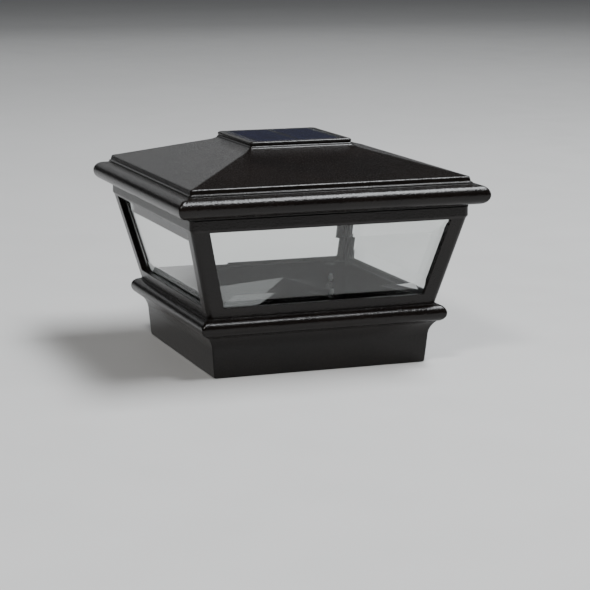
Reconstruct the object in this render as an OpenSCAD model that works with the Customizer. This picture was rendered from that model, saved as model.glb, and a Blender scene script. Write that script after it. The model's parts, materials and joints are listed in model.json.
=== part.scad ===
// Solar lantern cap for a square fence post.
// Millimetres, +Z up. The origin is the centre of the skirt's bottom rim and the front faces -Y.
// The cap is square, so most sizes are half-widths: the distance from the middle to one face.

/* [Post socket] */
// Side of the planed timber post that the cap sleeves over
post_side = 139.7; // [138:0.1:141]
// Gap between the post and the skirt on each side
post_gap = 1.15; // [0.8:0.05:1.5]
// Thickness of the skirt wall at its bottom rim
skirt_wall = 5.6; // [4.8:0.1:6.4]
// Height of the stops that the top of the post meets
post_stop_z = 18; // [15:0.5:18.5]
// Spacing of the two post screw holes in the back of the skirt
post_screw_spacing = 90; // [60:1:110]
// Diameter of the post screw holes
post_screw_d = 4.5; // [4:0.1:5]

/* [Base casting] */
// Height of the plain skirt below the cove
skirt_h = 18.4; // [17:0.1:19.5]
// How far the skirt widens from its rim to its top
skirt_draft = 1.6; // [1:0.1:2]
// How far the cove reaches out above the skirt
cove_out = 4; // [3:0.1:4.5]
// Height of the top of the cove
cove_top_z = 28.8; // [28:0.1:29.5]
// Radius of the rounded base moulding
base_bead_r = 5.8; // [5:0.1:6.2]
// Height of the joint between the base and the lantern frame
base_h = 42; // [41:0.1:43]
// Height of the peak of the hipped floor
floor_peak_z = 51.7; // [50:0.1:53]
// Height of the floor where it meets the inner walls
floor_edge_z = 29; // [28:0.1:30]
// Thickness of the floor
floor_t = 2.6; // [2.2:0.1:3]

/* [Lantern frame] */
// Half-width of the lantern at its bottom
lantern_foot = 82.3; // [81.5:0.1:83]
// How far each face leans out over one millimetre of height
lantern_flare = 0.256; // [0.24:0.002:0.27]
// Wall thickness of the frame, measured level
frame_wall = 4; // [3.5:0.1:4.5]
// Width of the corner posts beside each window
stile_w = 12.2; // [11:0.1:13.5]
// Height of the bottom edge of the windows
window_low_z = 49.3; // [48.5:0.1:50.5]
// Height of the top edge of the windows
window_high_z = 102.6; // [101:0.1:103]
// Half-width of the plain band above the windows
frieze = 98.9; // [98.6:0.1:99.4]
// Height of the top of the lantern frame
frame_top_z = 111; // [110.5:0.1:111]

/* [Glass] */
// Thickness of the raised middle of each pane
glass_t = 3.4; // [3:0.1:4.4]
// Thickness of the flat border that sits behind the frame
glass_edge_t = 2.4; // [2:0.1:2.8]
// Width of the bevel between the border and the raised middle
bevel_w = 8.6; // [7:0.1:10]
// Thickness of the seal between the glass and the frame
seal_t = 0.6; // [0.4:0.1:0.8]

/* [Roof casting] */
// Radius of the rounded eave
eave_r = 6.5; // [6:0.1:6.8]
// Distance from the middle of the cap to the outermost line of the eave
eave_half = 109.9; // [109:0.1:111]
// Height of the middle of the rounded eave
eave_z = 119.5; // [119.2:0.1:120]
// Half-width of the square edge where the roof slope begins
slope_foot = 98.3; // [97.5:0.1:98.8]
// Height of that edge
slope_foot_z = 131.5; // [131:0.1:132]
// Half-width of the top of the slope, at the collar
slope_head = 42; // [41:0.1:43]
// Height of the top of the slope
slope_head_z = 147; // [146.8:0.1:147.3]
// Half-width of the collar around the solar panel
collar_half = 37; // [36.8:0.1:37.4]
// Height of the collar's top rim
collar_z = 153.2; // [153:0.1:153.6]
// Thickness of the roof shell
roof_wall = 3.2; // [2.8:0.1:3.6]

/* [Solar panel] */
// Side of the square solar panel
panel_side = 65; // [63:0.5:65]
// How far the panel's cover stands above the collar
panel_proud = 0.1; // [0:0.1:0.6]
// Width of each of the two solar cells
cell_w = 27.4; // [26:0.1:28]
// Length of each solar cell
cell_l = 61; // [58:0.5:62]

/* [Electronics] */
// Length of the housing under the floor
housing_l = 62; // [61:0.5:63]
// Width of the housing
housing_w = 44; // [43:0.5:45]
// Height of the outer face of the housing's cover
housing_low_z = 19; // [18.8:0.1:19.4]
// Height of the top of the housing
housing_high_z = 39; // [38.6:0.1:39.2]
// Distance of each lamp from the two middle planes of the cap
led_place = 58; // [54:0.5:60]
// How far the switch slides
switch_travel = 3; // [2:0.5:3]

/* [Hidden] */
$fn = 64;

// Post socket and base
socket_half = post_side / 2 + post_gap;
skirt_foot = socket_half + skirt_wall;
skirt_head = skirt_foot + skirt_draft;
cove_rise = cove_top_z - skirt_h;
cove_r = (cove_out * cove_out + cove_rise * cove_rise) / (2 * cove_out);
bead_x = lantern_foot + 0.4;
bead_z = base_h - 0.6 - base_bead_r;
chamber_half = 77;
floor_fall = (floor_peak_z - floor_edge_z) / chamber_half;
stop_w = 36;
stop_d = 9;
post_screw_z = 9;

// Frame
lean = atan(lantern_flare);
pane_low_v = 3.2;
pane_high_v = (frame_top_z - base_h - 5) / cos(lean);
pane_inset = 8;
pane_border = 4.2;
side_lean = atan(lantern_flare * cos(lean));
shelf_half = 73.2;
lip_z = base_h + 5.5;
lip_half_l = 58;

// M4 screws that hold the frame to the base and to the roof
m4_d = 4;
m4_clear_d = 4.4;
m4_tapped_d = 4.04;
m4_head_d = 7;
m4_head_h = 2.4;
column = 69.5;
column_d = 8.6;
column_low_z = 27;
frame_lug = 25;
roof_screw = 82;
roof_boss_d = 9;
roof_lug = 37;
roof_lug_t = 3;
wire_hole_d = 4.6;

// Roof
gasket_t = 0.5;
roof_low_z = frame_top_z + gasket_t;
eave_x = eave_half - eave_r;
slope = (slope_head_z - slope_foot_z) / (slope_foot - slope_head);
bezel_w = 1.2;
recess_half = panel_side / 2 + bezel_w;
recess_z = 150.3;
panel_hole_half = 25;

// Solar panel layers, from the recess up
board_t = 1.3;
cell_t = 0.2;
cell_gap = 3;
cell_z = recess_z + board_t;
cover_z = cell_z + cell_t;
cover_top_z = collar_z + panel_proud;

// Housing, board, switch and battery
shell_t = 1.6;
ear_x = 37;
ear_y = 13;
ear_t = 2;
ear_z = 30;
m3_d = 3;
m3_tapped_d = 3.04;
m3_head_d = 5.4;
m3_head_h = 1.8;
m25_d = 2.5;
m25_tapped_d = 2.54;
m25_head_d = 3.8;
clip_reach = 3;
m25_head_h = 1.5;
m2_d = 2;
m2_tapped_d = 2.04;
m2_head_d = 3.8;
m2_head_h = 1.3;
board_z = 26;
pcb_t = 1.6;
pcb_l = 51;
pcb_w = 17;
pcb_y = 10.6;
cell_r = 7.25;
battery_l = 50.5;
battery_y = -9.2;
battery_z = 29.4;
battery_x = 3.05;
door_l = 54;
door_w = 15.6;
door_gap = 0.25;
cover_t = 1.6;
seal_h = 0.6;
switch_x = 8;
switch_y = 13;
switch_l = 11;
switch_w = 6;
switch_h = 3.6;
knob_l = 3;
knob_w = 2.4;
cover_screw_x = 28.2;
cover_screw_y = 19.3;
board_screw_x = 20;
led_wire_y = 6;
wire_port_z = 33;

// Lamps
led_d = 3;
led_flange_d = 3.6;
led_stand = 2;
led_h = 4.2;
grommet_d = 5;
lead_d = 0.5;
lead_pitch = 1.27;
led_floor_z = floor_peak_z - floor_fall * led_place;

// Wires
wire_d = 1.4;
wire_side = 0.75 * wire_d * [1, -1, 0] / sqrt(2);
wire_entry = [-60, -48];
wire_entry_z = floor_peak_z - floor_fall * 60;
corner_run = pane_inset - 2;
wire_foot = frame_half(base_h + 2) - corner_run;

// ---- shared shapes ----

function frame_half(z) = lantern_foot + lantern_flare * (z - base_h);
function slope_z(half) = slope_foot_z + slope * (slope_foot - half);
function floor_z(half) = floor_peak_z - floor_fall * half;

// Solid with a square section at every height. Its children are the right half of the side
// outline, with x the distance from the middle and y the height.
module square_form() {
    reach = 130;
    intersection() {
        rotate([90, 0, 0]) linear_extrude(2 * reach, center = true) both_halves() children();
        rotate([90, 0, 90]) linear_extrude(2 * reach, center = true) both_halves() children();
    }
}

module both_halves() {
    children();
    mirror([1, 0]) children();
}

module square_block(half, low, high) {
    translate([-half, -half, low]) cube([2 * half, 2 * half, high - low]);
}

module four_sides() {
    for (turn = [0:90:270]) rotate(turn) children();
}

module at_corners(x, y = undef) {
    across = is_undef(y) ? x : y;
    for (sx = [-1, 1], sy = [-1, 1]) translate([sx * x, sy * across, 0]) children();
}

module rod(d, low, high) {
    translate([0, 0, low]) cylinder(d = d, h = high - low);
}

// Pan-head screw pointing up, with the underside of its head at the origin
module pan_screw(d, length, head_d, head_h) {
    recess_w = 0.22 * head_d;
    union() {
        cylinder(d = d, h = length);
        difference() {
            union() {
                translate([0, 0, -head_h * 0.6]) cylinder(d = head_d, h = head_h * 0.6);
                translate([0, 0, -head_h]) cylinder(d1 = head_d * 0.8, d2 = head_d, h = head_h * 0.4);
            }
            for (turn = [0, 90]) rotate(turn) translate([0, 0, -head_h])
                cube([head_d * 0.6, recess_w, head_h], center = true);
        }
    }
}

// Places its children on the inner wall of the front face: x along the wall, y up its slope and
// z out through the wall.
module on_front_wall() {
    translate([0, frame_wall - lantern_foot, base_h]) rotate([90 + lean, 0, 0]) children();
}

// Round tube through a list of points, with one ring of side_count corners at each point
function unit(v) = v / norm(v);
function direction_at(route, i) =
    unit(route[min(i + 1, len(route) - 1)] - route[max(i - 1, 0)]);
function ring(centre, along, radius, side_count) =
    let (side = unit(cross(along, abs(along.z) > 0.9 ? [1, 0.3, 0] : [0, 0, 1])), over = cross(side, along))
    [for (k = [0:side_count - 1])
        let (turn = 360 * k / side_count) centre + radius * (cos(turn) * side + sin(turn) * over)];

module tube(route, d, side_count = 8) {
    last = len(route) - 1;
    points = [for (i = [0:last]) each ring(route[i], direction_at(route, i), d / 2, side_count)];
    walls = [for (i = [0:last - 1], k = [0:side_count - 1])
        let (next = (k + 1) % side_count)
        [i * side_count + k, i * side_count + next, (i + 1) * side_count + next, (i + 1) * side_count + k]];
    start = [for (k = [side_count - 1:-1:0]) k];
    end = [for (k = [0:side_count - 1]) last * side_count + k];
    polyhedron(points, concat([start], walls, [end]));
}

// ---- base ----

module base_outline() {
    difference() {
        union() {
            polygon([[0, 0], [skirt_foot - 0.7, 0], [skirt_foot, 0.7], [skirt_head, skirt_h],
                [skirt_head + cove_out, skirt_h], [skirt_head + cove_out, cove_top_z],
                [bead_x, cove_top_z + 0.3], [bead_x, base_h], [0, base_h]]);
            translate([bead_x, bead_z]) circle(r = base_bead_r);
        }
        intersection() {
            translate([skirt_head + cove_r, skirt_h]) circle(r = cove_r);
            translate([skirt_head, skirt_h]) square([2 * cove_out, cove_rise]);
        }
    }
}

// Stop under the floor, in the middle of each side, that the top of the post meets
module post_stop() {
    inner = socket_half - stop_d;
    outer = socket_half + 1;
    rotate([90, 0, 90]) linear_extrude(stop_w, center = true)
        polygon([[inner, post_stop_z], [outer, post_stop_z],
            [outer, floor_z(outer) - 1], [inner, floor_z(inner) - 1]]);
}

module base() color([0.12, 0.1, 0.095]) difference() {
    union() {
        difference() {
            union() {
                difference() {
                    square_form() base_outline();
                    square_block(chamber_half, floor_edge_z, base_h + 1);
                }
                square_form() polygon([[0, post_stop_z], [chamber_half, post_stop_z],
                    [chamber_half, floor_edge_z], [0, floor_peak_z]]);
            }
            square_form() polygon([[0, -1], [socket_half, -1],
                [socket_half, floor_z(socket_half) - floor_t], [0, floor_peak_z - floor_t]]);
        }
        four_sides() post_stop();
        at_corners(column) rod(column_d, column_low_z, base_h);
        at_corners(ear_x, ear_y) rod(6, ear_z + ear_t, floor_z(ear_x) - floor_t / 2);
    }
    at_corners(column) rod(m4_clear_d, column_low_z - 1, base_h + 1);
    at_corners(column) rod(column_d, -1, column_low_z);
    at_corners(led_place) rod(grommet_d - 1.6, 20, base_h);
    translate(wire_entry) rod(grommet_d, 20, base_h);
    translate([-wire_foot, -wire_foot, 0]) rod(wire_hole_d, base_h - 6, base_h + 1);
    at_corners(ear_x, ear_y) rod(m3_tapped_d, ear_z, ear_z + ear_t + 5);
    for (side = [-1, 1]) translate([side * post_screw_spacing / 2, socket_half - 4, post_screw_z])
        rotate([-90, 0, 0]) cylinder(d = post_screw_d, h = 20);
}

module frame_screws() color("silver")
    at_corners(column) translate([0, 0, column_low_z])
        pan_screw(m4_d, base_h + 4 - column_low_z, m4_head_d, m4_head_h);

// ---- lantern frame and glass ----

module window_cut() {
    low = frame_half(window_low_z) - stile_w;
    high = frame_half(window_high_z) - stile_w;
    rotate([90, 0, 0]) linear_extrude(120)
        polygon([[-low, window_low_z], [low, window_low_z], [high, window_high_z], [-high, window_high_z]]);
}

module corner_lug(size, corner_half, low, high) {
    four_sides() translate([0, 0, low]) linear_extrude(high - low)
        polygon([[corner_half, corner_half], [corner_half - size, corner_half],
            [corner_half, corner_half - size]]);
}

module frame_outline() {
    frieze_z = 103;
    polygon([[0, base_h], [lantern_foot, base_h], [frame_half(frieze_z), frieze_z],
        [frieze, frieze_z + 1.6], [frieze, frame_top_z], [0, frame_top_z]]);
}

module frame_hollow() {
    polygon([[0, base_h - 1], [frame_half(base_h - 1) - frame_wall, base_h - 1],
        [frame_half(frame_top_z + 1) - frame_wall, frame_top_z + 1], [0, frame_top_z + 1]]);
}

module lantern_frame() color([0.12, 0.1, 0.095]) difference() {
    union() {
        difference() {
            square_form() frame_outline();
            square_form() frame_hollow();
            four_sides() window_cut();
        }
        difference() {
            square_block(lantern_foot - frame_wall + 0.5, base_h, base_h + 2.8);
            square_block(shelf_half, base_h - 1, base_h + 4);
        }
        four_sides() translate([-lip_half_l, shelf_half, base_h]) cube([2 * lip_half_l, 2, lip_z - base_h]);
        corner_lug(frame_lug, lantern_foot - 3, base_h, base_h + 2.8);
        at_corners(column) rod(column_d, base_h, lip_z);
        corner_lug(roof_lug, frame_half(frame_top_z) - 3, frame_top_z - roof_lug_t, frame_top_z);
    }
    at_corners(column) rod(m4_tapped_d, base_h - 1, base_h + 4.5);
    at_corners(roof_screw) rod(m4_clear_d, frame_top_z - 9, frame_top_z + 1);
    for (turn = [0:90:270]) rotate(turn)
        translate([frame_half(frame_top_z - 1) - 6.9, frame_half(frame_top_z - 1) - 6.9, 0])
            rod(wire_hole_d, frame_top_z - 5, frame_top_z + 1);
    for (turn = [0:90:270]) rotate(turn)
        translate([wire_foot, wire_foot, 0]) rod(wire_hole_d, base_h - 1, base_h + 4);
    four_sides() clip_places() translate([0, 0, -1]) cylinder(d = m25_tapped_d, h = 3.4);
}

// Corners of the pane's outline, in from its outer edge by a margin
function pane_corners(margin = 0) =
    let (
        low = pane_low_v + margin,
        high = pane_high_v - margin,
        side = pane_inset + margin / cos(side_lean),
        low_half = frame_half(base_h + low * cos(lean)) - side,
        high_half = frame_half(base_h + high * cos(lean)) - side
    )
    [[-low_half, low], [low_half, low], [high_half, high], [-high_half, high]];

// Bevelled pane: x across, y up the slope and z outwards from its inner face
module pane() {
    levels = [[0, 0], [0, glass_edge_t], [pane_border, glass_edge_t], [pane_border + bevel_w, glass_t]];
    last = len(levels) - 1;
    points = [for (level = levels) for (p = pane_corners(level[0])) [p.x, p.y, level[1]]];
    walls = [for (i = [0:last - 1], k = [0:3])
        let (n = (k + 1) % 4) [4 * i + k, 4 * (i + 1) + k, 4 * (i + 1) + n, 4 * i + n]];
    polyhedron(points, concat([[0, 1, 2, 3]], walls, [[for (k = [3:-1:0]) 4 * last + k]]));
}

module glass_pane() color([0.8, 0.88, 0.85, 0.35])
    on_front_wall() translate([0, 0, -seal_t - glass_edge_t]) pane();

module glass_front() glass_pane();
module glass_right() rotate(90) glass_pane();
module glass_back() rotate(180) glass_pane();
module glass_left() rotate(270) glass_pane();

module glazing_seals() color([0.08, 0.08, 0.08])
    four_sides() on_front_wall() translate([0, 0, -seal_t]) linear_extrude(seal_t) difference() {
        polygon(pane_corners(0.3));
        polygon(pane_corners(3.6));
    }

module clip_places() {
    for (side = [-1, 1]) on_front_wall()
        translate([side * 45, pane_high_v + clip_reach, 0]) children();
}

module glass_clips() color("silver") four_sides() clip_places() {
    clip_w = 9;
    strip_t = 0.8;
    depth = seal_t + glass_edge_t;
    leg = 0.2 - clip_reach;
    difference() {
        union() {
            translate([-clip_w / 2, leg, -strip_t]) cube([clip_w, m25_head_d / 2 - leg, strip_t]);
            translate([-clip_w / 2, leg, -depth - strip_t]) cube([clip_w, strip_t, depth + strip_t]);
            translate([-clip_w / 2, leg - 5.6, -depth - strip_t]) cube([clip_w, 5.6 + strip_t, strip_t]);
        }
        translate([0, 0, -2]) cylinder(d = m25_d + 0.3, h = 4);
    }
}

module clip_screws() color("silver") four_sides() clip_places()
    translate([0, 0, -0.8]) pan_screw(m25_d, 2.8, m25_head_d, m25_head_h);

// ---- roof ----

module roof_outline() {
    step_x = 100.4;
    bead_r = 1.5;
    neck = collar_half - 0.6;
    union() {
        polygon([[0, roof_low_z], [frieze - 0.5, roof_low_z], [frieze - 0.5, eave_z - eave_r],
            [eave_x, eave_z - eave_r], [eave_x, eave_z + eave_r], [step_x, eave_z + eave_r + 0.5],
            [step_x, eave_z + eave_r + 1.8], [step_x - 1.1, eave_z + eave_r + 2.3],
            [slope_foot + 0.5, slope_foot_z - 0.6], [slope_foot, slope_foot_z],
            [slope_head, slope_head_z], [slope_head - 2.2, slope_head_z + 0.75],
            [collar_half + 1, slope_head_z + 1.7], [neck, slope_head_z + 3.2],
            [neck, collar_z - bead_r], [collar_half - bead_r, collar_z], [0, collar_z]]);
        translate([eave_x, eave_z]) circle(r = eave_r);
        translate([collar_half - bead_r, collar_z - bead_r]) circle(r = bead_r);
        translate([collar_half - 0.9, collar_z - 4.2]) circle(r = bead_r);
    }
}

module roof_hollow() {
    low_half = 94.5;
    eave_half_in = 102.5;
    polygon([[0, roof_low_z - 1], [low_half, roof_low_z - 1], [low_half, eave_z - eave_r + 2.5],
        [eave_half_in, eave_z - 3.5], [eave_half_in, eave_z + 2.5], [low_half, eave_z + 6],
        [low_half, slope_z(low_half) - roof_wall], [34, slope_z(34) - roof_wall],
        [0, slope_z(34) - roof_wall]]);
}

module roof() color([0.12, 0.1, 0.095]) difference() {
    union() {
        difference() {
            square_form() roof_outline();
            square_form() roof_hollow();
        }
        at_corners(roof_screw) rod(roof_boss_d, roof_low_z, slope_z(roof_screw) - 2.4);
    }
    square_block(recess_half, recess_z, collar_z + 1);
    square_block(panel_hole_half, 130, collar_z + 1);
    at_corners(roof_screw) rod(m4_tapped_d, roof_low_z - 1, roof_low_z + 9);
}

module roof_gasket() color([0.05, 0.05, 0.05]) difference() {
    square_block(frieze - 0.8, frame_top_z, roof_low_z);
    square_block(frieze - 3, frame_top_z - 1, roof_low_z + 1);
}

module roof_screws() color("silver")
    at_corners(roof_screw) translate([0, 0, frame_top_z - roof_lug_t])
        pan_screw(m4_d, 10, m4_head_d, m4_head_h);

// ---- solar panel ----

module panel_board() color([0.05, 0.06, 0.09])
    square_block(panel_side / 2, recess_z, cell_z);

module solar_cells() color([0.05, 0.07, 0.25])
    for (side = [-1, 1])
        translate([side * (cell_gap + cell_w) / 2 - cell_w / 2, -cell_l / 2, cell_z])
            cube([cell_w, cell_l, cell_t]);

module panel_cover() color([0.8, 0.85, 0.9, 0.3]) square_block(panel_side / 2, cover_z, cover_top_z);

module panel_seal() color([0.07, 0.07, 0.07]) difference() {
    square_block(recess_half, recess_z, collar_z - 0.3);
    square_block(panel_side / 2, recess_z - 1, collar_z + 1);
}

// ---- lamps ----

module led_lamps() color([0.9, 0.95, 1, 0.5]) at_corners(led_place)
    translate([0, 0, led_floor_z + led_stand]) {
        cylinder(d = led_flange_d, h = 0.8);
        cylinder(d = led_d, h = led_h - led_d / 2);
        translate([0, 0, led_h - led_d / 2]) sphere(d = led_d);
    }

module led_leads() color("silver") at_corners(led_place)
    for (side = [-1, 1]) translate([side * lead_pitch / 2, 0, 0])
        rod(lead_d, led_floor_z - 6, led_floor_z + led_stand);

module grommet(place_z) {
    grip = 1.2;
    difference() {
        union() {
            rod(grommet_d - 1.7, place_z - floor_t - 2, place_z + 0.6);
            rod(grommet_d + 1, place_z - floor_t - 2.4, place_z - floor_t - grip);
        }
        for (side = [-1, 1]) translate([side * lead_pitch / 2, 0, 0]) rod(lead_d + 0.1, 0, 60);
    }
}

module led_grommets() color([0.1, 0.1, 0.1]) at_corners(led_place) grommet(led_floor_z);

module lead_grommet() color([0.1, 0.1, 0.1]) translate(wire_entry) difference() {
    union() {
        rod(grommet_d - 0.1, wire_entry_z - floor_t - 2, wire_entry_z + 1.4);
        rod(grommet_d + 2, wire_entry_z + 1, wire_entry_z + 2.2);
    }
    for (side = [-1, 1]) translate(side * wire_side) rod(wire_d + 0.1, 0, 60);
}

// ---- housing under the floor ----

module housing_block(inset, low, high) {
    translate([-housing_l / 2 + inset, -housing_w / 2 + inset, low])
        cube([housing_l - 2 * inset, housing_w - 2 * inset, high - low]);
}

module housing() color([0.13, 0.13, 0.14]) difference() {
    rim_z = housing_low_z + cover_t + seal_h;
    post_d = 4.4;
    union() {
        difference() {
            housing_block(0, rim_z, housing_high_z);
            housing_block(shell_t, rim_z - 1, housing_high_z - shell_t);
        }
        at_corners(ear_x, ear_y) rod(8, ear_z, ear_z + ear_t);
        for (sx = [-1, 1], sy = [-1, 1])
            translate([sx * (housing_l / 2 + ear_x) / 2 - 4, sy * ear_y - 4, ear_z]) cube([8, 8, ear_t]);
        at_corners(cover_screw_x, cover_screw_y) rod(post_d, rim_z, housing_high_z - 0.5);
        for (side = [-1, 1]) translate([side * board_screw_x, pcb_y, 0])
            rod(post_d, board_z + pcb_t, housing_high_z - 0.5);
    }
    at_corners(ear_x, ear_y) rod(m3_d + 0.4, ear_z - 1, ear_z + ear_t + 1);
    at_corners(cover_screw_x, cover_screw_y) rod(m2_tapped_d, rim_z - 1, rim_z + 7);
    for (side = [-1, 1]) translate([side * board_screw_x, pcb_y, 0]) rod(m2_tapped_d, board_z, board_z + 7);
    for (side = [-1, 1]) translate([0, side * led_wire_y, wire_port_z]) rotate([0, 90, 0])
        cylinder(d = 2.4, h = housing_l + 2, center = true);
    translate([-housing_l / 2, 0, wire_port_z]) rotate([0, 90, 0]) cylinder(d = 4.6, h = 8, center = true);
}

module housing_screws() color("silver") at_corners(ear_x, ear_y) translate([0, 0, ear_z])
    pan_screw(m3_d, ear_t + 4, m3_head_d, m3_head_h);

module housing_seal() color([0.3, 0.3, 0.3]) difference() {
    low = housing_low_z + cover_t;
    housing_block(0.2, low, low + seal_h);
    housing_block(shell_t - 0.2, low - 1, low + seal_h + 1);
    at_corners(cover_screw_x, cover_screw_y) rod(m2_d + 1, low - 1, low + 2);
}

module door_opening(gap) {
    translate([-door_l / 2 - gap, battery_y - door_w / 2 - gap, housing_low_z - 1])
        cube([door_l + 2 * gap, door_w + 2 * gap, cover_t + 2]);
}

module housing_cover() color([0.13, 0.13, 0.14]) difference() {
    slot_w = knob_w + 1;
    housing_block(0, housing_low_z, housing_low_z + cover_t);
    door_opening(door_gap);
    translate([switch_x - knob_l / 2 - switch_travel / 2 - 0.6, switch_y - slot_w / 2, housing_low_z - 1])
        cube([knob_l + switch_travel + 1.2, slot_w, cover_t + 2]);
    at_corners(cover_screw_x, cover_screw_y) {
        rod(m2_d + 0.3, housing_low_z - 1, housing_low_z + cover_t + 1);
        rod(m2_head_d + 0.6, housing_low_z - 1, housing_low_z + 0.8);
    }
}

module cover_screws() color("silver") at_corners(cover_screw_x, cover_screw_y)
    translate([0, 0, housing_low_z + 0.8]) pan_screw(m2_d, 7, m2_head_d, 0.8);

module battery_door() color([0.2, 0.2, 0.21]) difference() {
    translate([-door_l / 2, battery_y - door_w / 2, housing_low_z]) cube([door_l, door_w, cover_t]);
    for (i = [0:3]) translate([door_l / 2 - 4 - 2 * i, battery_y, housing_low_z])
        cube([1, door_w - 4, 0.8], center = true);
}

// ---- control board and switch ----

module control_board() color([0.05, 0.3, 0.12]) difference() {
    translate([-pcb_l / 2, pcb_y - pcb_w / 2, board_z]) cube([pcb_l, pcb_w, pcb_t]);
    for (side = [-1, 1]) translate([side * board_screw_x, pcb_y, 0])
        rod(m2_d + 0.3, board_z - 1, board_z + pcb_t + 1);
}

module board_screws() color("silver") for (side = [-1, 1])
    translate([side * board_screw_x, pcb_y, board_z]) pan_screw(m2_d, pcb_t + 5, m2_head_d, m2_head_h);

module board_parts() {
    top = board_z + pcb_t;
    color([0.05, 0.05, 0.05]) translate([-6, pcb_y - 5, top]) cube([5, 4, 1.5]);
    color([0.1, 0.1, 0.12]) translate([-11, pcb_y, top]) cylinder(d = 5, h = 6);
    color([0.05, 0.05, 0.05]) translate([7, pcb_y + 2, top]) cylinder(d = 6, h = 4);
    color([0.5, 0.4, 0.25]) for (i = [0:3]) translate([3 + 3 * i, pcb_y - 5, top]) cube([1.6, 0.9, 0.6]);
}

module switch_body() color("silver") difference() {
    translate([switch_x - switch_l / 2, switch_y - switch_w / 2, board_z - switch_h])
        cube([switch_l, switch_w, switch_h]);
    translate([switch_x - knob_l / 2 - switch_travel / 2 - 0.4, switch_y - knob_w / 2 - 0.2,
        board_z - switch_h - 1])
        cube([knob_l + switch_travel + 0.8, knob_w + 0.4, switch_h]);
}

module switch_slider() color([0.9, 0.9, 0.88])
    translate([switch_x - knob_l / 2 - switch_travel / 2, switch_y - knob_w / 2, housing_low_z + 0.3])
        cube([knob_l, knob_w, board_z - switch_h - housing_low_z + 2]);

// ---- battery ----

module battery() color([0.15, 0.45, 0.25]) translate([battery_x, battery_y, battery_z]) rotate([0, 90, 0]) {
    cylinder(r = cell_r, h = battery_l - 1.5, center = true);
    cylinder(r = cell_r - 0.6, h = battery_l - 0.8, center = true);
    translate([0, 0, battery_l / 2 - 1]) cylinder(d = 5, h = 1.6);
}

module battery_contact() color("silver")
    translate([housing_l / 2 - shell_t - 0.5, battery_y - 5, battery_z - 6]) cube([0.5, 10, 12]);

module battery_spring() color("silver") {
    plate_x = -housing_l / 2 + shell_t;
    wire = 0.8;
    turns = 3;
    reach = battery_x - battery_l / 2 + 0.4 - plate_x - 0.5;
    steps = 48;
    coil = [for (i = [0:steps]) let (part = i / steps, r = 5 - 2.2 * part, a = 360 * turns * part)
        [plate_x + 0.9 + part * (reach - wire - 0.1), battery_y + r * cos(a), battery_z + r * sin(a)]];
    tube(coil, wire, 6);
    translate([plate_x, battery_y - 5.5, battery_z - 6]) cube([0.5, 11, 12]);
}

// ---- wires ----

// The panel's two wires run under the roof, down the hollow corner post at the front left and
// over the floor to their grommet
module solar_lead() {
    head = frame_half(frame_top_z - 1) - 6.9;
    route = [[-2, 0, 149.4], [-4, -2, 146], [-14, -14, 141], [-34, -34, 137], [-58, -60, 129],
        [-70, -80, 121], [-80, -90, 117], [-90, -92.6, 114], [-head, -head, frame_top_z],
        for (z = [100, 80, 60, 48]) [corner_run - frame_half(z), corner_run - frame_half(z), z],
        [-wire_foot, -wire_foot, base_h + 1], [-75.4, -75.4, 38], [-75.3, -69.5, 33.5], [-75, -63, 33],
        [-71, -56, 34], [-65.5, -52, 36.8], [-62.6, -50, 38.6], [-60.7, -48.6, 38.9], [-60, -48, 38.2], [-60, -48, 37.4],
        [-60, -48, 28.9], [-60, -48, 28.2], [-57, -42, 27], [-48, -26, 31.2], [-40.5, -8, 34.6], [-37, -2, 34.4],
        [-34, 0, wire_port_z + 0.4], [-30, 0, wire_port_z]];
    color([0.6, 0.08, 0.06]) tube([for (p = route) p + wire_side], wire_d);
    color([0.05, 0.05, 0.05]) tube([for (p = route) p - wire_side], wire_d);
}

// One twin lead from each lamp to its hole in the nearer end of the housing
module led_wires() color([0.85, 0.85, 0.82]) for (sx = [-1, 1], sy = [-1, 1]) {
    under = led_floor_z - 6;
    tube([[sx * led_place, sy * led_place, under], [sx * led_place, sy * led_place, under - 1.4],
        [sx * 54, sy * 50, under - 3.4], [sx * 50, sy * 36, 26.5], [sx * 47, sy * 20, 27],
        [sx * 43.5, sy * 10, 29], [sx * 37, sy * led_wire_y, wire_port_z - 1],
        [sx * 34, sy * led_wire_y, wire_port_z], [sx * 29.8, sy * led_wire_y, wire_port_z]], wire_d);
}

roof();
roof_screws();
roof_gasket();
panel_board();
solar_cells();
panel_cover();
panel_seal();
lantern_frame();
glass_front();
glass_back();
glass_left();
glass_right();
glazing_seals();
glass_clips();
clip_screws();
base();
frame_screws();
led_lamps();
led_leads();
led_grommets();
lead_grommet();
housing();
housing_screws();
housing_seal();
housing_cover();
cover_screws();
battery_door();
control_board();
board_screws();
board_parts();
switch_body();
switch_slider();
battery();
battery_contact();
battery_spring();
solar_lead();
led_wires();
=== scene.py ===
"""Solar lantern cap for a square fence post: the looks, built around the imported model.

Shapes are written in millimetres and made in metres. A square moulding is given by its side
outline, as (half-width, height) points, and is carried round the four sides.
"""
import json
import math

import bmesh
import bpy
from mathutils import Matrix, Vector

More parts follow.
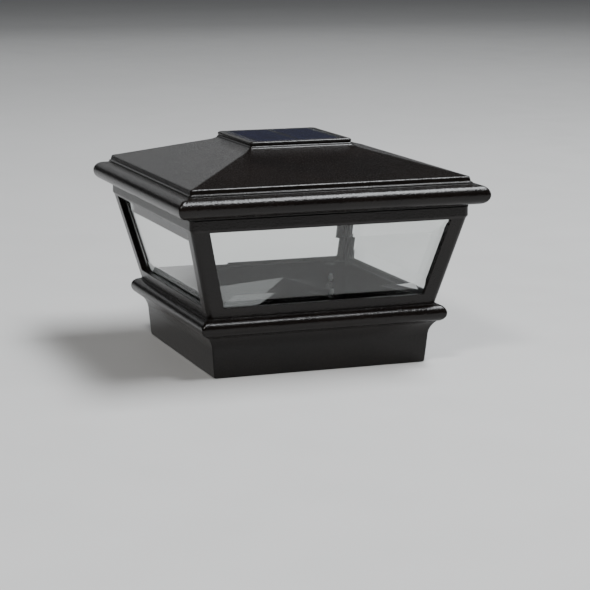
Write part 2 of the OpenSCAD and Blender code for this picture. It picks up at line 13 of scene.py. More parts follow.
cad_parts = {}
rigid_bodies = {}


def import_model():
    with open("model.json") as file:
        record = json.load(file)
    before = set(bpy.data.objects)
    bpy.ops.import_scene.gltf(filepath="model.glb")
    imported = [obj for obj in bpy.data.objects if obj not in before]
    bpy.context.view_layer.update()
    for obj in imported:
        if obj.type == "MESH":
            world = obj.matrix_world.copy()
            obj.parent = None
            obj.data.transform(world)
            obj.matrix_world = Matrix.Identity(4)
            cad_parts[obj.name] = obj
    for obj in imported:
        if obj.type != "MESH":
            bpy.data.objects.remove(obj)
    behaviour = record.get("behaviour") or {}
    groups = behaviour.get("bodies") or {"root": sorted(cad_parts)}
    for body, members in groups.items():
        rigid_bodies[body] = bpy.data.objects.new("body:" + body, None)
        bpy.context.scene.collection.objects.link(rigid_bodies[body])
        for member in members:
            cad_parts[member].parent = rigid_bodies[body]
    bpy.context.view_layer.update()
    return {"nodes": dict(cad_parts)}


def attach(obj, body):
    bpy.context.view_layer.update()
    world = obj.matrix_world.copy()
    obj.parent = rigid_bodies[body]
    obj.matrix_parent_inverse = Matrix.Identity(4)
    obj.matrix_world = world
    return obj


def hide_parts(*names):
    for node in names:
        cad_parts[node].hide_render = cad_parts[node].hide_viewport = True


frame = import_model()

MM = 0.001
WALL_LEAN = 0.256  # the lantern's walls go out by this much for each unit up
LEAN = math.atan(WALL_LEAN)
CORNERS = [(-1, -1), (1, -1), (1, 1), (-1, 1)]
QUARTERS = [math.radians(90 * turn) for turn in range(4)]
SHARP_ANGLE = math.radians(35)

# Places shared by the castings, in millimetres
FRAME_FOOT, FRAME_HEAD, ROOF_FOOT = 42.0, 111.0, 111.5
FRAME_SCREW = 69.5
ROOF_SCREW = 82
ROOF_BOSS_D, BASE_BOSS_D = 9, 8.6
LAMP = 58
SOCKET = 71.0
FLOOR_TOP = 51.7
HOUSING_EAR = (37, 13)
PANE_FOOT, PANE_HEAD, PANE_SIDE, PANE_SEAT = 3.2, 64, 8, 3.0
GLASS_T = 3.4
SCREW_TAP_D, SCREW_CLEARANCE_D = 4.04, 4.4
WIRE_HOLE_D = 4.6
ROOF_WALL = 3.2
FRAME_WALL = 4
FLOOR_WALL = 2.6


# ---- materials ----

class Paint:
    """A Principled material with helpers for the procedural nodes behind it."""

    def __init__(self, name, color=(0.5, 0.5, 0.5), **sockets):
        self.material = bpy.data.materials.new(name)
        self.material.use_nodes = True
        self.tree = self.material.node_tree
        self.shader = self.tree.nodes["Principled BSDF"]
        self.shader.inputs["Base Color"].default_value = (*color, 1)
        for socket, value in sockets.items():
            self.shader.inputs[socket.replace("_", " ")].default_value = value
        self.place = self.tree.nodes.new("ShaderNodeTexCoord").outputs["Object"]

    def node(self, kind, inputs=(), **settings):
        n = self.tree.nodes.new("ShaderNode" + kind)
        for key, value in settings.items():
            setattr(n, key, value)
        for key, value in dict(inputs).items():
            if isinstance(value, bpy.types.NodeSocket):
                self.tree.links.new(value, n.inputs[key])
            else:
                n.inputs[key].default_value = value
        return n

    def stretched(self, x=1, y=1, z=1):
        return self.node("Mapping", {"Vector": self.place, "Scale": (x, y, z)}).outputs[0]

    def noise(self, size_mm, detail=2.0, rough=0.5, place=None):
        """Noise whose blobs are about size_mm across."""
        inputs = {"Vector": place or self.place, "Scale": 1 / (size_mm * MM),
                  "Detail": detail, "Roughness": rough}
        return self.node("TexNoise", inputs).outputs["Fac"]

    def remap(self, value, low, high, to_low, to_high):
        inputs = {"Value": value, "From Min": low, "From Max": high, "To Min": to_low, "To Max": to_high}
        return self.node("MapRange", inputs).outputs[0]

    def math(self, operation, a, b=0.0):
        return self.node("Math", {0: a, 1: b}, operation=operation).outputs[0]

    def ramp(self, value, low, high, start=0.35, end=0.65):
        n = self.node("ValToRGB", {"Fac": value})
        for element, place, color in zip(n.color_ramp.elements, (start, end), (low, high)):
            element.position = place
            element.color = (*color, 1)
        return n.outputs[0]

    def mix(self, fac, a, b):
        n = self.node("Mix", {"Factor": fac}, data_type="RGBA")
        for socket, value in ((n.inputs[6], a), (n.inputs[7], b)):
            if isinstance(value, bpy.types.NodeSocket):
                self.tree.links.new(value, socket)
            else:
                socket.default_value = (*value, 1)
        return n.outputs[2]

    def bump(self, height, depth_mm, strength=1.0, under=None):
        inputs = {"Height": height, "Distance": depth_mm * MM, "Strength": strength}
        if under:
            inputs["Normal"] = under
        return self.node("Bump", inputs).outputs[0]

    def to(self, socket, value):
        self.tree.links.new(value, self.shader.inputs[socket])
        return self


def powder_coat():
    p = Paint("powder_coat", Specular_IOR_Level=0.3)
    drift = p.noise(38, 3)
    p.to("Base Color", p.ramp(drift, (0.0042, 0.0029, 0.0024), (0.0075, 0.0052, 0.0043)))
    peel = p.noise(1.3, 1.5, 0.5)
    grit = p.noise(0.5, 2, 0.6)
    p.to("Roughness", p.remap(grit, 0.3, 0.75, 0.17, 0.32))
    wave = p.bump(peel, 0.22, 0.8)
    return p.to("Normal", p.bump(grit, 0.04, 0.7, wave)).material


def cast_floor():
    """The same coat where it pooled on the lantern's floor: smoother and glossier."""
    p = Paint("powder_coat_floor", Specular_IOR_Level=0.6)
    p.to("Base Color", p.ramp(p.noise(30, 3), (0.0085, 0.0082, 0.0082), (0.0125, 0.012, 0.0118)))
    peel = p.noise(2.6, 1.5, 0.45)
    p.to("Roughness", p.remap(p.noise(0.6), 0.3, 0.75, 0.08, 0.16))
    return p.to("Normal", p.bump(peel, 0.015, 0.35)).material


def raw_inside():
    """Thin coat on the hidden inner side of the castings, with a grainier cast skin under it."""
    p = Paint("cast_skin_coated")
    p.to("Base Color", p.ramp(p.noise(12, 4), (0.011, 0.0098, 0.009), (0.02, 0.018, 0.0165)))
    p.to("Roughness", p.remap(p.noise(3, 3), 0.3, 0.7, 0.42, 0.62))
    skin = p.bump(p.noise(2.4, 4, 0.65), 0.12, 0.6)
    return p.to("Normal", skin).material


def clear_solid(name, color, ior, rough, clearness=1.0):
    """Clear glass or plastic that lamps shine through."""
    p = Paint(name, color, IOR=ior, Transmission_Weight=clearness)
    haze = p.noise(9, 3)
    p.to("Roughness", p.remap(haze, 0.35, 0.75, rough, rough + 0.012))
    output = p.tree.nodes["Material Output"]
    lamp_ray = p.node("LightPath").outputs["Is Shadow Ray"]
    clear = p.node("BsdfTransparent", {"Color": (*[c * 0.93 for c in color], 1)}).outputs[0]
    both = p.node("MixShader", {0: lamp_ray, 1: p.shader.outputs[0], 2: clear})
    p.tree.links.new(both.outputs[0], output.inputs["Surface"])
    return p.material


def zinc_steel():
    p = Paint("zinc_steel", Metallic=1.0)
    p.to("Base Color", p.ramp(p.noise(1.3, 3), (0.50, 0.50, 0.49), (0.68, 0.68, 0.66)))
    p.to("Roughness", p.remap(p.noise(0.5, 3), 0.3, 0.7, 0.22, 0.42))
    return p.to("Normal", p.bump(p.noise(0.25), 0.006, 0.5)).material


def spring_steel():
    p = Paint("spring_steel", Metallic=1.0)
    p.to("Base Color", p.ramp(p.noise(2), (0.62, 0.61, 0.58), (0.74, 0.73, 0.70)))
    p.to("Roughness", p.remap(p.noise(0.4), 0.3, 0.7, 0.15, 0.3))
    return p.to("Normal", p.bump(p.noise(0.3, place=p.stretched(0.1)), 0.004, 0.4)).material


def rubber(name, dark, light):
    p = Paint(name, Specular_IOR_Level=0.35)
    p.to("Base Color", p.ramp(p.noise(2.5, 3), dark, light))
    p.to("Roughness", p.remap(p.noise(0.8), 0.3, 0.7, 0.55, 0.75))
    return p.to("Normal", p.bump(p.noise(0.35), 0.015, 0.5)).material


def moulded_plastic(name, dark, light, rough=0.42, grain_mm=0.28):
    p = Paint(name)
    p.to("Base Color", p.ramp(p.noise(10, 2), dark, light))
    grain = p.noise(grain_mm, 2)
    p.to("Roughness", p.remap(grain, 0.3, 0.7, rough - 0.06, rough + 0.08))
    return p.to("Normal", p.bump(grain, 0.012, 0.5)).material


def stripes(p, axis, pitch_mm, width_mm, offset_mm=0.0):
    """1 on thin lines across the axis, 0 between them."""
    along = p.node("SeparateXYZ", {0: p.place}).outputs[axis]
    turn = p.math("FRACT", p.math("DIVIDE", p.math("ADD", along, offset_mm * MM), pitch_mm * MM))
    return p.math("LESS_THAN", turn, width_mm / pitch_mm)


def solar_cell():
    p = Paint("solar_cell", Specular_IOR_Level=0.7, Coat_Weight=0.4, Coat_Roughness=0.08)
    silicon = p.ramp(p.noise(5, 4, 0.6), (0.0045, 0.005, 0.028), (0.0075, 0.0085, 0.05))
    fingers = stripes(p, "Y", 1.9, 0.12)
    busbars = stripes(p, "X", 13.7, 0.9, 8.35 + 0.45)
    lines = p.math("MAXIMUM", fingers, busbars)
    p.to("Base Color", p.mix(lines, silicon, (0.022, 0.026, 0.075)))
    p.to("Roughness", p.remap(p.noise(0.7), 0.3, 0.7, 0.22, 0.36))
    return p.to("Normal", p.bump(lines, 0.02, 0.6)).material


def circuit_board(name, dark, light):
    p = Paint(name, Coat_Weight=0.5, Coat_Roughness=0.15)
    tracks = p.noise(2.6, 0, place=p.stretched(1, 0.25))
    p.to("Base Color", p.ramp(tracks, dark, light, 0.49, 0.51))
    p.to("Roughness", p.remap(p.noise(0.4), 0.3, 0.7, 0.35, 0.5))
    return p.to("Normal", p.bump(tracks, 0.03, 0.5)).material


def battery_wrap():
    """Printed film: a green sleeve with a silver band at one end."""
    p = Paint("battery_wrap", Coat_Weight=0.6, Coat_Roughness=0.1)
    x = p.node("SeparateXYZ", {0: p.place}).outputs["X"]
    band = p.math("GREATER_THAN", x, 0.0195)
    cap = p.math("GREATER_THAN", x, 0.0274)
    film = p.ramp(p.noise(6, 2), (0.010, 0.105, 0.045), (0.016, 0.145, 0.062))
    p.to("Base Color", p.mix(p.math("MAXIMUM", band, cap), film, (0.50, 0.50, 0.49)))
    p.to("Roughness", p.remap(p.noise(1.1), 0.3, 0.7, 0.24, 0.36))
    return p.to("Normal", p.bump(p.noise(3.5), 0.03, 0.4)).material


def studio_floor():
    p = Paint("studio_floor")
    p.to("Base Color", p.ramp(p.noise(900, 3), (0.60, 0.597, 0.59), (0.63, 0.627, 0.62)))
    p.to("Roughness", p.remap(p.noise(60, 3), 0.3, 0.7, 0.6, 0.75))
    return p.to("Normal", p.bump(p.noise(4, 3), 0.08, 0.3)).material


COAT = powder_coat()
FLOOR_COAT = cast_floor()
INSIDE_COAT = raw_inside()
GLASS = clear_solid("glass", (0.975, 0.99, 0.982), 1.5, 0.0)
COVER = clear_solid("panel_cover", (0.97, 0.975, 0.98), 1.49, 0.015)
LENS = clear_solid("led_lens", (0.94, 0.955, 0.97), 1.53, 0.06, 0.5)
ZINC = zinc_steel()
SPRING = spring_steel()
BLACK_RUBBER = rubber("seal_rubber", (0.012, 0.012, 0.012), (0.022, 0.022, 0.021))
GREY_RUBBER = rubber("grey_rubber", (0.09, 0.09, 0.092), (0.13, 0.13, 0.13))
SHELL = moulded_plastic("housing_plastic", (0.014, 0.014, 0.015), (0.022, 0.022, 0.023))
KNOB = moulded_plastic("switch_knob", (0.62, 0.62, 0.60), (0.72, 0.72, 0.69), 0.35)
PARTS = moulded_plastic("board_part", (0.010, 0.010, 0.011), (0.028, 0.028, 0.030), 0.5, 0.6)
RED_WIRE = moulded_plastic("wire_red", (0.30, 0.018, 0.012), (0.38, 0.026, 0.018), 0.4)
WHITE_WIRE = moulded_plastic("wire_clear", (0.55, 0.55, 0.52), (0.66, 0.66, 0.62), 0.38)


# ---- meshes ----

def fillet(points, step_deg=15):
    """The outline with each corner rounded by its own radius: points are (half, z, radius, corner)."""
    out = []
    for i, (x, z, radius, corner) in enumerate(points):
        here = Vector((x, z))
        if radius <= 0 or i in (0, len(points) - 1):
            out.append((x, z, corner))
            continue
        back = Vector(points[i - 1][:2]) - here
        ahead = Vector(points[i + 1][:2]) - here
        inside = back.angle(ahead)
        reach = min(radius / math.tan(inside / 2), 0.48 * back.length, 0.48 * ahead.length)
        radius = reach * math.tan(inside / 2)
        start = here + back.normalized() * reach
        end = here + ahead.normalized() * reach
        middle = (back.normalized() + ahead.normalized()).normalized()
        centre = here + middle * (radius / math.sin(inside / 2))
        steps = max(2, round(math.degrees(math.pi - inside) / step_deg))
        for k in range(steps + 1):
            t = k / steps
            spoke = (start - centre).slerp(end - centre, t).normalized() * radius
            out.append((*(centre + spoke), corner))
    return out


def arc(x, z, radius, start, end, corner, steps=20):
    """Points on a circle, from one angle to another in degrees, each with no rounding of its own."""
    angles = [math.radians(start + (end - start) * k / steps) for k in range(steps + 1)]
    return [(x + radius * math.cos(a), z + radius * math.sin(a), 0, corner) for a in angles]


def square_ring(half, z, corner, stations=(), steps=6):
    """One level ring: a square with rounded corners, anticlockwise from the front face's left end."""
    corner = min(corner, half * 0.999)
    points = []
    for turn in QUARTERS:
        side = [(station, -half) for station in stations]
        for k in range(steps + 1):
            a = math.radians(-90 + 90 * k / steps)
            side.append((half - corner + corner * math.cos(a), corner - half + corner * math.sin(a)))
        spin = Matrix.Rotation(turn, 2)
        points += [(*(spin @ Vector(p)), z) for p in side]
    return points


def loft(outline, closed, stations=None):
    """bmesh of a square moulding. A half-width of 0 ends it in a point on the axis."""
    bm = bmesh.new()
    rings = []
    for half, z, corner in outline:
        if half <= 0:
            rings.append([bm.verts.new((0, 0, z))])
        else:
            marks = stations(z) if stations else ()
            rings.append([bm.verts.new(p) for p in square_ring(half, z, corner, marks)])
    pairs = list(zip(rings, rings[1:])) + ([(rings[-1], rings[0])] if closed else [])
    for low, high in pairs:
        count = max(len(low), len(high))
        for k in range(count):
            n = (k + 1) % count
            loop = [low[k % len(low)], low[n % len(low)], high[n % len(high)], high[k % len(high)]]
            bm.faces.new(list(dict.fromkeys(loop)))
    bmesh.ops.recalc_face_normals(bm, faces=bm.faces)
    return bm


def finish_mesh(name, bm, material):
    """Object in metres from a bmesh in millimetres, in one material."""
    bmesh.ops.transform(bm, matrix=Matrix.Scale(MM, 4), verts=bm.verts)
    mesh = bpy.data.meshes.new(name)
    bm.to_mesh(mesh)
    bm.free()
    mesh.materials.append(material)
    obj = bpy.data.objects.new(name, mesh)
    bpy.context.scene.collection.objects.link(obj)
    return obj


def smooth(obj):
    mesh = obj.data
    mesh.shade_smooth()
    mesh.set_sharp_from_angle(angle=SHARP_ANGLE)
    weighted = obj.modifiers.new("flats_stay_flat", "WEIGHTED_NORMAL")
    weighted.keep_sharp = True
    return obj


def rod(x, y, d, low, high, sides=32):
    bm = bmesh.new()
    bmesh.ops.create_cone(bm, cap_ends=True, segments=sides, radius1=d / 2, radius2=d / 2, depth=high - low,
                          matrix=Matrix.Translation((x, y, (low + high) / 2)))
    return bm


def prism(points, low, high, turn=0.0):
    """Upright block over a polygon, turned about the axis."""
    bm = bmesh.new()
    floor = bm.faces.new([bm.verts.new((x, y, low)) for x, y in points])
    top = bmesh.ops.extrude_face_region(bm, geom=[floor])["geom"]
    raised = [v for v in top if isinstance(v, bmesh.types.BMVert)]
    bmesh.ops.translate(bm, vec=(0, 0, high - low), verts=raised)
    bmesh.ops.rotate(bm, verts=bm.verts, matrix=Matrix.Rotation(turn, 3, "Z"))
    bmesh.ops.recalc_face_normals(bm, faces=bm.faces)
    return bm


def box_points(x0, x1, y0, y1):
    return [(x0, y0), (x1, y0), (x1, y1), (x0, y1)]


def combine(obj, tools, operation):
    """Joins the tools to obj, or cuts them from it, and leaves a plain mesh."""
    group = bpy.data.collections.new("tools")
    for tool in tools:
        for owner in tool.users_collection:
            owner.objects.unlink(tool)
        group.objects.link(tool)
    bpy.context.scene.collection.children.link(group)
    cut = obj.modifiers.new("cut", "BOOLEAN")
    cut.operation = operation
    cut.operand_type = "COLLECTION"
    cut.collection = group
    cut.solver = "EXACT"
    bpy.context.view_layer.update()
    mesh = bpy.data.meshes.new_from_object(obj.evaluated_get(bpy.context.evaluated_depsgraph_get()))
    obj.modifiers.clear()
    obj.data = mesh
    for tool in list(group.objects):
        bpy.data.objects.remove(tool)
    bpy.data.collections.remove(group)
    return obj


def tool(bm):
    return finish_mesh("tool", bm, COAT)


# ---- castings ----

def frame_half(z):
    return 82.3 + WALL_LEAN * (z - FRAME_FOOT)


def slope_z(half):
    return 131.5 + 15.5 / 56.3 * (98.3 - half)


def floor_z(half):
    return FLOOR_TOP - 22.7 / 77 * half


def build_roof():
    hip = 1.3
    hollow_x = 94.5
    outline = [(98.4, ROOF_FOOT, 0, 1.6), (98.4, 113.0, 0.5, 1.6), (102.0, 113.0, 0, 1.6)]
    outline += arc(103.4, 119.5, 6.5, -90, 90, 1.6, 26)
    outline += [
        (100.4, 126.5, 0.25, hip), (100.4, 127.8, 0.45, hip), (99.3, 128.3, 0.35, hip),
        (98.8, 130.9, 0.4, hip), (98.3, 131.5, 0.5, hip),
        (72.0, slope_z(72), 0, hip), (42.0, 147.0, 2.5, hip), (39.8, 147.75, 2.5, hip),
        (38.0, 148.7, 1.0, hip)]
    outline += arc(36.1, 149.0, 1.5, 4, 62, 1.6, 8)
    outline += arc(35.5, 151.7, 1.5, -36, 90, 1.6, 14)
    outline += [
        (33.7, 153.2, 0.3, 0.6), (33.7, 150.3, 0.2, 0.6), (25.0, 150.3, 0.3, 1.5),
        (25.0, slope_z(34) - ROOF_WALL, 0.3, 1.5), (34.0, slope_z(34) - ROOF_WALL, 1.5, 1.5),
        (hollow_x, slope_z(hollow_x) - ROOF_WALL, 1.0, 1.5), (hollow_x, 125.5, 1.0, 1.5),
        (102.5, 122.0, 1.5, 1.5), (102.5, 116.0, 1.5, 1.5), (hollow_x, 115.5, 0.5, 1.5),
        (hollow_x, ROOF_FOOT, 0.3, 1.5)]
    roof = finish_mesh("roof_casting", loft(fillet(outline), True), COAT)
    at = ROOF_SCREW
    bosses = [tool(rod(at * sx, at * sy, ROOF_BOSS_D, ROOF_FOOT, slope_z(at) - 2.4)) for sx, sy in CORNERS]
    combine(roof, bosses, "UNION")
    taps = [tool(rod(at * sx, at * sy, SCREW_TAP_D, ROOF_FOOT - 11.5, ROOF_FOOT + 9)) for sx, sy in CORNERS]
    combine(roof, taps, "DIFFERENCE")
    return smooth(roof)


def window_half(z):
    return frame_half(z) - 12.2


def build_frame():
    post, inner = 4.2, 1.2
    low, high = 49.3, 102.6
    ledge_x, ledge_z, rib_z = 73.2, 44.8, 47.5
    outline = [
        (frame_half(FRAME_FOOT), FRAME_FOOT, 0.0, post), (frame_half(low), low, 0, post),
        (frame_half(high), high, 0, post), (frame_half(103), 103.0, 0, post),
        (98.9, 104.6, 0.3, post), (98.9, FRAME_HEAD, 0.3, post),
        (frame_half(FRAME_HEAD) - FRAME_WALL, FRAME_HEAD, 0.3, inner),
        (frame_half(high) - FRAME_WALL, high, 0, inner), (frame_half(low) - FRAME_WALL, low, 0, inner),
        (frame_half(ledge_z) - FRAME_WALL, ledge_z, 0.8, inner), (ledge_x, ledge_z, 0.3, inner),
        (ledge_x, FRAME_FOOT, 0, inner)]

    def stations(z):
        w = window_half(min(max(z, low), high))
        return (-w, w)

    bm = loft(fillet(outline), True, stations)
    open_windows(bm, low, high)
    frame_mesh = finish_mesh("lantern_frame_casting", bm, COAT)
    parts = []
    for turn in QUARTERS:
        parts.append(tool(prism(box_points(-58, 58, ledge_x, ledge_x + 2), FRAME_FOOT, rib_z, turn)))
        foot, head = 79.3, frame_half(FRAME_HEAD) - 3
        foot_web = [(foot, foot), (foot - 25, foot), (foot, foot - 25)]
        parts.append(tool(prism(foot_web, FRAME_FOOT, ledge_z, turn)))
        head_web = [(head, head), (head - 37, head), (head, head - 37)]
        parts.append(tool(prism(head_web, FRAME_HEAD - 3, FRAME_HEAD, turn)))
    boss = FRAME_SCREW
    parts += [tool(rod(boss * sx, boss * sy, BASE_BOSS_D, FRAME_FOOT, rib_z)) for sx, sy in CORNERS]
    combine(frame_mesh, parts, "UNION")
    foot, head = frame_half(44) - 6, frame_half(110) - 6.9
    holes = []
    for sx, sy in CORNERS:
        holes.append(tool(rod(boss * sx, boss * sy, SCREW_TAP_D, FRAME_FOOT - 1, rib_z - 1)))
        holes.append(tool(rod(ROOF_SCREW * sx, ROOF_SCREW * sy, SCREW_CLEARANCE_D, 102, FRAME_HEAD + 1)))
        holes.append(tool(rod(foot * sx, foot * sy, WIRE_HOLE_D, FRAME_FOOT - 1, 46)))
        holes.append(tool(rod(head * sx, head * sy, WIRE_HOLE_D, 106, FRAME_HEAD + 1)))
    combine(frame_mesh, holes, "DIFFERENCE")
    return smooth(frame_mesh)


def open_windows(bm, low, high):
    """Takes the four windows out of the walls and lines them with jambs, their edges eased."""
    def at(v, z):
        return abs(v.co.z - z) < 1e-4

    panels = []
    for face in bm.faces:
        levels = {round(v.co.z, 3) for v in face.verts}
        if levels == {low, high}:
            middle = face.calc_center_median()
            if min(abs(middle.x), abs(middle.y)) < 1e-3:
                panels.append(face)
    sides = {}
    for face in panels:
        middle = face.calc_center_median()
        side = round(math.atan2(middle.y, middle.x) / (math.pi / 2)) % 4
        sides.setdefault(side, []).append(face)
    rims = []
    for pair in sides.values():
        pair.sort(key=lambda f: f.calc_center_median().length)
        inside, outside = pair
        loops = []
        for face in (inside, outside):
            order = sorted(face.verts, key=lambda v: (v.co.z, v.co.x + v.co.y))
            loops.append([order[0], order[1], order[3], order[2]])
        rims.append(loops)
    bmesh.ops.delete(bm, geom=panels, context="FACES_ONLY")
    edges = []
    for a, b in rims:
        for k in range(4):
            n = (k + 1) % 4
            bm.faces.new([a[k], a[n], b[n], b[k]])
            edges.append(bm.edges.get((b[k], b[n])))
            edges.append(bm.edges.get((a[k], a[n])))
            edges.append(bm.edges.get((a[k], b[k])))
    bmesh.ops.recalc_face_normals(bm, faces=bm.faces)
    bmesh.ops.bevel(bm, geom=edges, offset=0.36, offset_type="OFFSET", segments=3, profile=0.5,
                    affect="EDGES", clamp_overlap=False)


def build_base():
    outline = [(0, FLOOR_TOP, 0, 0), (0.7, floor_z(0.7), 0, 0.3), (50, floor_z(50), 0, 0.5),
               (77.0, 29.0, 0.9, 0.9), (77.0, 42.0, 0.4, 1.2), (82.7, 42.0, 0.4, 2.2)]
    outline += arc(82.7, 35.6, 5.8, 88, -88, 1.8, 26)
    outline += [(82.7, 29.2, 0.25, 1.4), (82.2, 28.8, 0.25, 1.4)]
    outline += arc(93.72, 18.4, 15.52, 139, 180, 1.3, 16)
    outline += [(77.4, 9.2, 0, 1.2), (76.6, 0.7, 0.4, 1.2), (75.9, 0.0, 0.3, 1.2), (SOCKET, 0.0, 0.4, 1.5),
                (SOCKET, 27.0, 0, 1.5), (SOCKET, floor_z(SOCKET) - FLOOR_WALL, 1.2, 1.5),
                (1, floor_z(1) - FLOOR_WALL, 0, 0.5), (0, FLOOR_TOP - FLOOR_WALL, 0, 0)]
    base = finish_mesh("base_casting", loft(fillet(outline), False), COAT)
    parts = []
    for turn in QUARTERS:
        parts.append(tool(prism(box_points(-18, 18, 62, 72.5), 18.0, 30.6, turn)))
    boss = FRAME_SCREW
    parts += [tool(rod(boss * sx, boss * sy, BASE_BOSS_D, 27, FRAME_FOOT)) for sx, sy in CORNERS]
    ear_x, ear_y = HOUSING_EAR
    parts += [tool(rod(ear_x * sx, ear_y * sy, 6, 32, floor_z(ear_x) - 1.3)) for sx, sy in CORNERS]
    combine(base, parts, "UNION")
    holes = []
    for sx, sy in CORNERS:
        holes.append(tool(rod(boss * sx, boss * sy, SCREW_CLEARANCE_D, 20, FRAME_FOOT + 1)))
        holes.append(tool(rod(boss * sx, boss * sy, BASE_BOSS_D, -1, 27)))
        holes.append(tool(rod(LAMP * sx, LAMP * sy, 3.4, 20, 45)))
        holes.append(tool(rod(ear_x * sx, ear_y * sy, 3.04, 20, 37)))
    holes.append(tool(rod(-60, -48, 5, 20, 45)))
    pocket = frame_half(44) - 6
    holes.append(tool(rod(-pocket, -pocket, WIRE_HOLE_D, 36, FRAME_FOOT + 1)))
    for side in (-1, 1):
        hole = rod(0, 0, 4.5, 0, 20)
        bmesh.ops.rotate(hole, verts=hole.verts, matrix=Matrix.Rotation(math.radians(-90), 3, "X"))
        bmesh.ops.translate(hole, verts=hole.verts, vec=(45 * side, 67, 9))
        holes.append(tool(hole))
    combine(base, holes, "DIFFERENCE")
    base.data.materials.clear()
    for material in (COAT, FLOOR_COAT, INSIDE_COAT):
        base.data.materials.append(material)
    for face in base.data.polygons:
        c = face.center / MM
        reach = max(abs(c.x), abs(c.y))
        if reach < 76.5 and c.z > floor_z(reach) - 0.8:
            face.material_index = 1
        elif reach < 71.5 or (reach < 76 and c.z < 28 and face.normal.z < -0.5 and c.z > 1):
            face.material_index = 2
    return smooth(base)


castings = {"roof": build_roof(), "lantern_frame": build_frame(), "base": build_base()}
for node_name, piece in castings.items():
    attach(piece, "root")
    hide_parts(node_name)


# ---- glass ----

def pane_outline(margin, z):
    """The trapezoid of a pane, in from its outer edge by a margin, at a height above its inner face."""
    side_lean = math.atan(WALL_LEAN * math.cos(LEAN))
    points = []
    for v in (PANE_FOOT + margin, PANE_HEAD / math.cos(LEAN) - margin):
        half = frame_half(FRAME_FOOT + v * math.cos(LEAN)) - PANE_SIDE - margin / math.cos(side_lean)
        points.append((half, v))
    (a, low), (b, high) = points
    return [(-a, low, z), (a, low, z), (b, high, z), (-b, high, z)]


def build_pane(name, turn):
    bm = bmesh.new()
    rings = []
    rim_t, border, bevel_end = 2.4, 4.2, 12.8
    for margin, z in ((0, 0), (0, rim_t), (border, rim_t), (bevel_end, GLASS_T)):
        rings.append([bm.verts.new(p) for p in pane_outline(margin, z)])
    bm.faces.new(rings[0])
    bm.faces.new(rings[-1])
    for low, high in zip(rings, rings[1:]):
        for k in range(4):
            bm.faces.new([low[k], low[(k + 1) % 4], high[(k + 1) % 4], high[k]])
    bmesh.ops.recalc_face_normals(bm, faces=bm.faces)
    bmesh.ops.bevel(bm, geom=list(bm.edges), offset=0.22, segments=2, profile=0.5, affect="EDGES",
                    clamp_overlap=False)
    wall_inside = frame_half(FRAME_FOOT) - FRAME_WALL
    place = (Matrix.Rotation(turn, 4, "Z") @ Matrix.Translation((0, -wall_inside, FRAME_FOOT))
             @ Matrix.Rotation(math.radians(90) + LEAN, 4, "X") @ Matrix.Translation((0, 0, -PANE_SEAT)))
    bmesh.ops.transform(bm, matrix=place, verts=bm.verts)
    return finish_mesh(name + "_pane", bm, GLASS)


for node_name, turn in zip(("glass_front", "glass_right", "glass_back", "glass_left"), QUARTERS):
    piece = build_pane(node_name, turn)
    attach(piece, "root")
    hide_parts(node_name)


# ---- carried-over parts ----

def ease(node_name, width_mm, material, segments=2):
    """Gives a CAD part its material and slightly rounded edges."""
    obj = frame["nodes"][node_name]
    mesh = obj.data
    for attribute in [a for a in mesh.attributes if a.name == "custom_normal"]:
        mesh.attributes.remove(attribute)
    mesh.materials.clear()
    mesh.materials.append(material)
    mesh.shade_smooth()
    weld = obj.modifiers.new("weld", "WELD")
    weld.merge_threshold = 1e-6
    if width_mm:
        bevel = obj.modifiers.new("eased_edges", "BEVEL")
        bevel.width = width_mm * MM
        bevel.segments = segments
        bevel.limit_method = "ANGLE"
        bevel.angle_limit = math.radians(40)
    split = obj.modifiers.new("edges", "EDGE_SPLIT")
    split.split_angle = SHARP_ANGLE
    obj.modifiers.new("flats_stay_flat", "WEIGHTED_NORMAL")


CARRIED = (
    ("roof_screws", 0.12, ZINC), ("frame_screws", 0.12, ZINC), ("housing_screws", 0.1, ZINC),
    ("cover_screws", 0.06, ZINC), ("board_screws", 0.08, ZINC), ("clip_screws", 0.08, ZINC),
    ("glass_clips", 0.12, SPRING), ("roof_gasket", 0.1, BLACK_RUBBER), ("glazing_seals", 0.1, BLACK_RUBBER),
    ("panel_seal", 0.15, BLACK_RUBBER), ("led_grommets", 0.2, BLACK_RUBBER),
    ("lead_grommet", 0.25, BLACK_RUBBER), ("housing_seal", 0.1, GREY_RUBBER),
    ("housing", 0.35, SHELL), ("housing_cover", 0.25, SHELL), ("battery_door", 0.25, SHELL),
    ("control_board", 0.05, circuit_board("board_green", (0.010, 0.085, 0.030), (0.016, 0.13, 0.048))),
    ("panel_board", 0.05, circuit_board("panel_board", (0.008, 0.009, 0.013), (0.012, 0.014, 0.020))),
    ("board_parts", 0.12, PARTS), ("switch_body", 0.15, SPRING), ("switch_slider", 0.2, KNOB),
    ("battery", 0.25, battery_wrap()), ("battery_contact", 0.05, SPRING), ("battery_spring", 0, SPRING),
    ("led_leads", 0, ZINC), ("solar_lead", 0, RED_WIRE), ("led_wires", 0, WHITE_WIRE),
    ("solar_cells", 0, solar_cell()), ("panel_cover", 0.35, COVER))
for row in CARRIED:
    ease(*row)


# ---- lamps ----

def turned(outline, x, y, material, name, sides=32):
    """A solid of revolution about an upright axis: the outline runs from the axis to the axis."""
    bm = bmesh.new()
    rings = []
    for radius, z in outline:
        if radius <= 0:
            rings.append([bm.verts.new((x, y, z))])
            continue
        turns = [2 * math.pi * k / sides for k in range(sides)]
        rings.append([bm.verts.new((x + radius * math.cos(a), y + radius * math.sin(a), z)) for a in turns])
    for low, high in zip(rings, rings[1:]):
        for k in range(sides):
            n = (k + 1) % sides
            loop = [low[k % len(low)], low[n % len(low)], high[n % len(high)], high[k % len(high)]]
            bm.faces.new(list(dict.fromkeys(loop)))
    bmesh.ops.recalc_face_normals(bm, faces=bm.faces)
    return finish_mesh(name, bm, material)


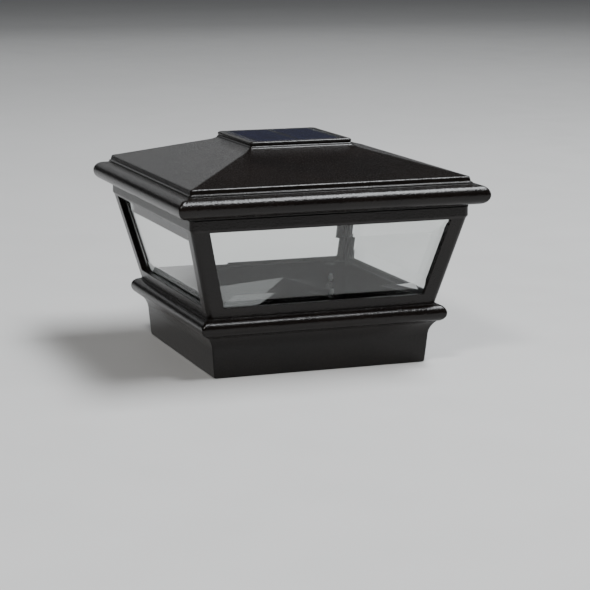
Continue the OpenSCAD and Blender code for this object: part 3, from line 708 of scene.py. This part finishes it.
def merge(name, pieces):
    """One object from several separate ones."""
    bm = bmesh.new()
    material = pieces[0].data.materials[0]
    for piece in pieces:
        bm.from_mesh(piece.data)
        bpy.data.objects.remove(piece)
    mesh = bpy.data.meshes.new(name)
    bm.to_mesh(mesh)
    bm.free()
    mesh.materials.append(material)
    obj = bpy.data.objects.new(name, mesh)
    bpy.context.scene.collection.objects.link(obj)
    return smooth(obj)


def build_lamps():
    """Clear 3 mm lamps with the cup and the post inside the lens."""
    foot = floor_z(LAMP) + 2
    lens_outline = [(0, foot), (1.72, foot), (1.8, foot + 0.1), (1.8, foot + 0.7), (1.72, foot + 0.8),
                    (1.52, foot + 0.86), (1.5, foot + 1.0)]
    for k in range(10):
        a = math.radians(90 * k / 9)
        lens_outline.append((1.5 * math.cos(a) if k < 9 else 0, foot + 2.7 + 1.5 * math.sin(a)))
    lenses, metal = [], []
    for sx, sy in CORNERS:
        x, y = LAMP * sx, LAMP * sy
        lenses.append(turned(lens_outline, x, y, LENS, "lens"))
        metal.append(turned([(0, foot + 0.3), (0.22, foot + 0.3), (0.22, foot + 1.5), (0.5, foot + 2.3),
                             (0.5, foot + 2.6), (0.38, foot + 2.6), (0.2, foot + 2.35), (0, foot + 2.35)],
                            x - 0.45, y, ZINC, "cup", 20))
        metal.append(turned([(0, foot + 0.3), (0.2, foot + 0.3), (0.2, foot + 2.3), (0.34, foot + 2.5),
                             (0, foot + 2.5)], x + 0.62, y, ZINC, "anvil", 16))
    lens = merge("led_lenses", lenses)
    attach(lens, "root")
    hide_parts("led_lamps")
    posts = merge("led_posts", metal)
    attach(posts, "root")


build_lamps()


# ---- studio ----

def build_stage():
    bm = bmesh.new()
    reach = 30000
    bm.faces.new([bm.verts.new((x * reach, y * reach, -0.02)) for x, y in CORNERS])
    stage_floor = finish_mesh("studio_floor", bm, studio_floor())


def soft_light(name, place, target, width, height, power, color=(1, 1, 1)):
    data = bpy.data.lights.new(name, "AREA")
    data.shape = "RECTANGLE"
    data.size, data.size_y = width, height
    data.energy = power
    data.color = color
    obj = bpy.data.objects.new(name, data)
    obj.location = place
    obj.rotation_euler = (Vector(target) - Vector(place)).to_track_quat("-Z", "Y").to_euler()
    obj.visible_camera = False
    bpy.context.scene.collection.objects.link(obj)


def build_lights():
    aim = (0, 0, 0.09)
    soft_light("key", (-1.3, -1.5, 2.6), aim, 0.6, 0.6, 42, (1, 0.985, 0.96))
    soft_light("overhead", (1.1, -0.4, 2.8), aim, 2.3, 0.7, 135, (0.95, 0.975, 1))
    soft_light("low_back", (0.35, 3.3, 1.2), aim, 3.0, 0.9, 5, (0.97, 0.99, 1))
    soft_light("right_fill", (2.6, -0.9, 1.3), aim, 0.5, 1.4, 14)
    world = bpy.data.worlds.new("studio")
    world.use_nodes = True
    world.node_tree.nodes["Background"].inputs["Color"].default_value = (0.05, 0.052, 0.055, 1)
    bpy.context.scene.world = world


def build_camera():
    data = bpy.data.cameras.new("camera")
    data.lens = 123.76
    data.sensor_width = 36
    data.clip_end = 200
    obj = bpy.data.objects.new("camera", data)
    obj.location = (-0.478779, -1.336499, 0.315601)
    forward = Vector((0.33625803, 0.92203744, -0.19177459))
    obj.rotation_euler = forward.to_track_quat("-Z", "Y").to_euler()
    bpy.context.scene.collection.objects.link(obj)
    bpy.context.scene.camera = obj


build_stage()
build_lights()
build_camera()
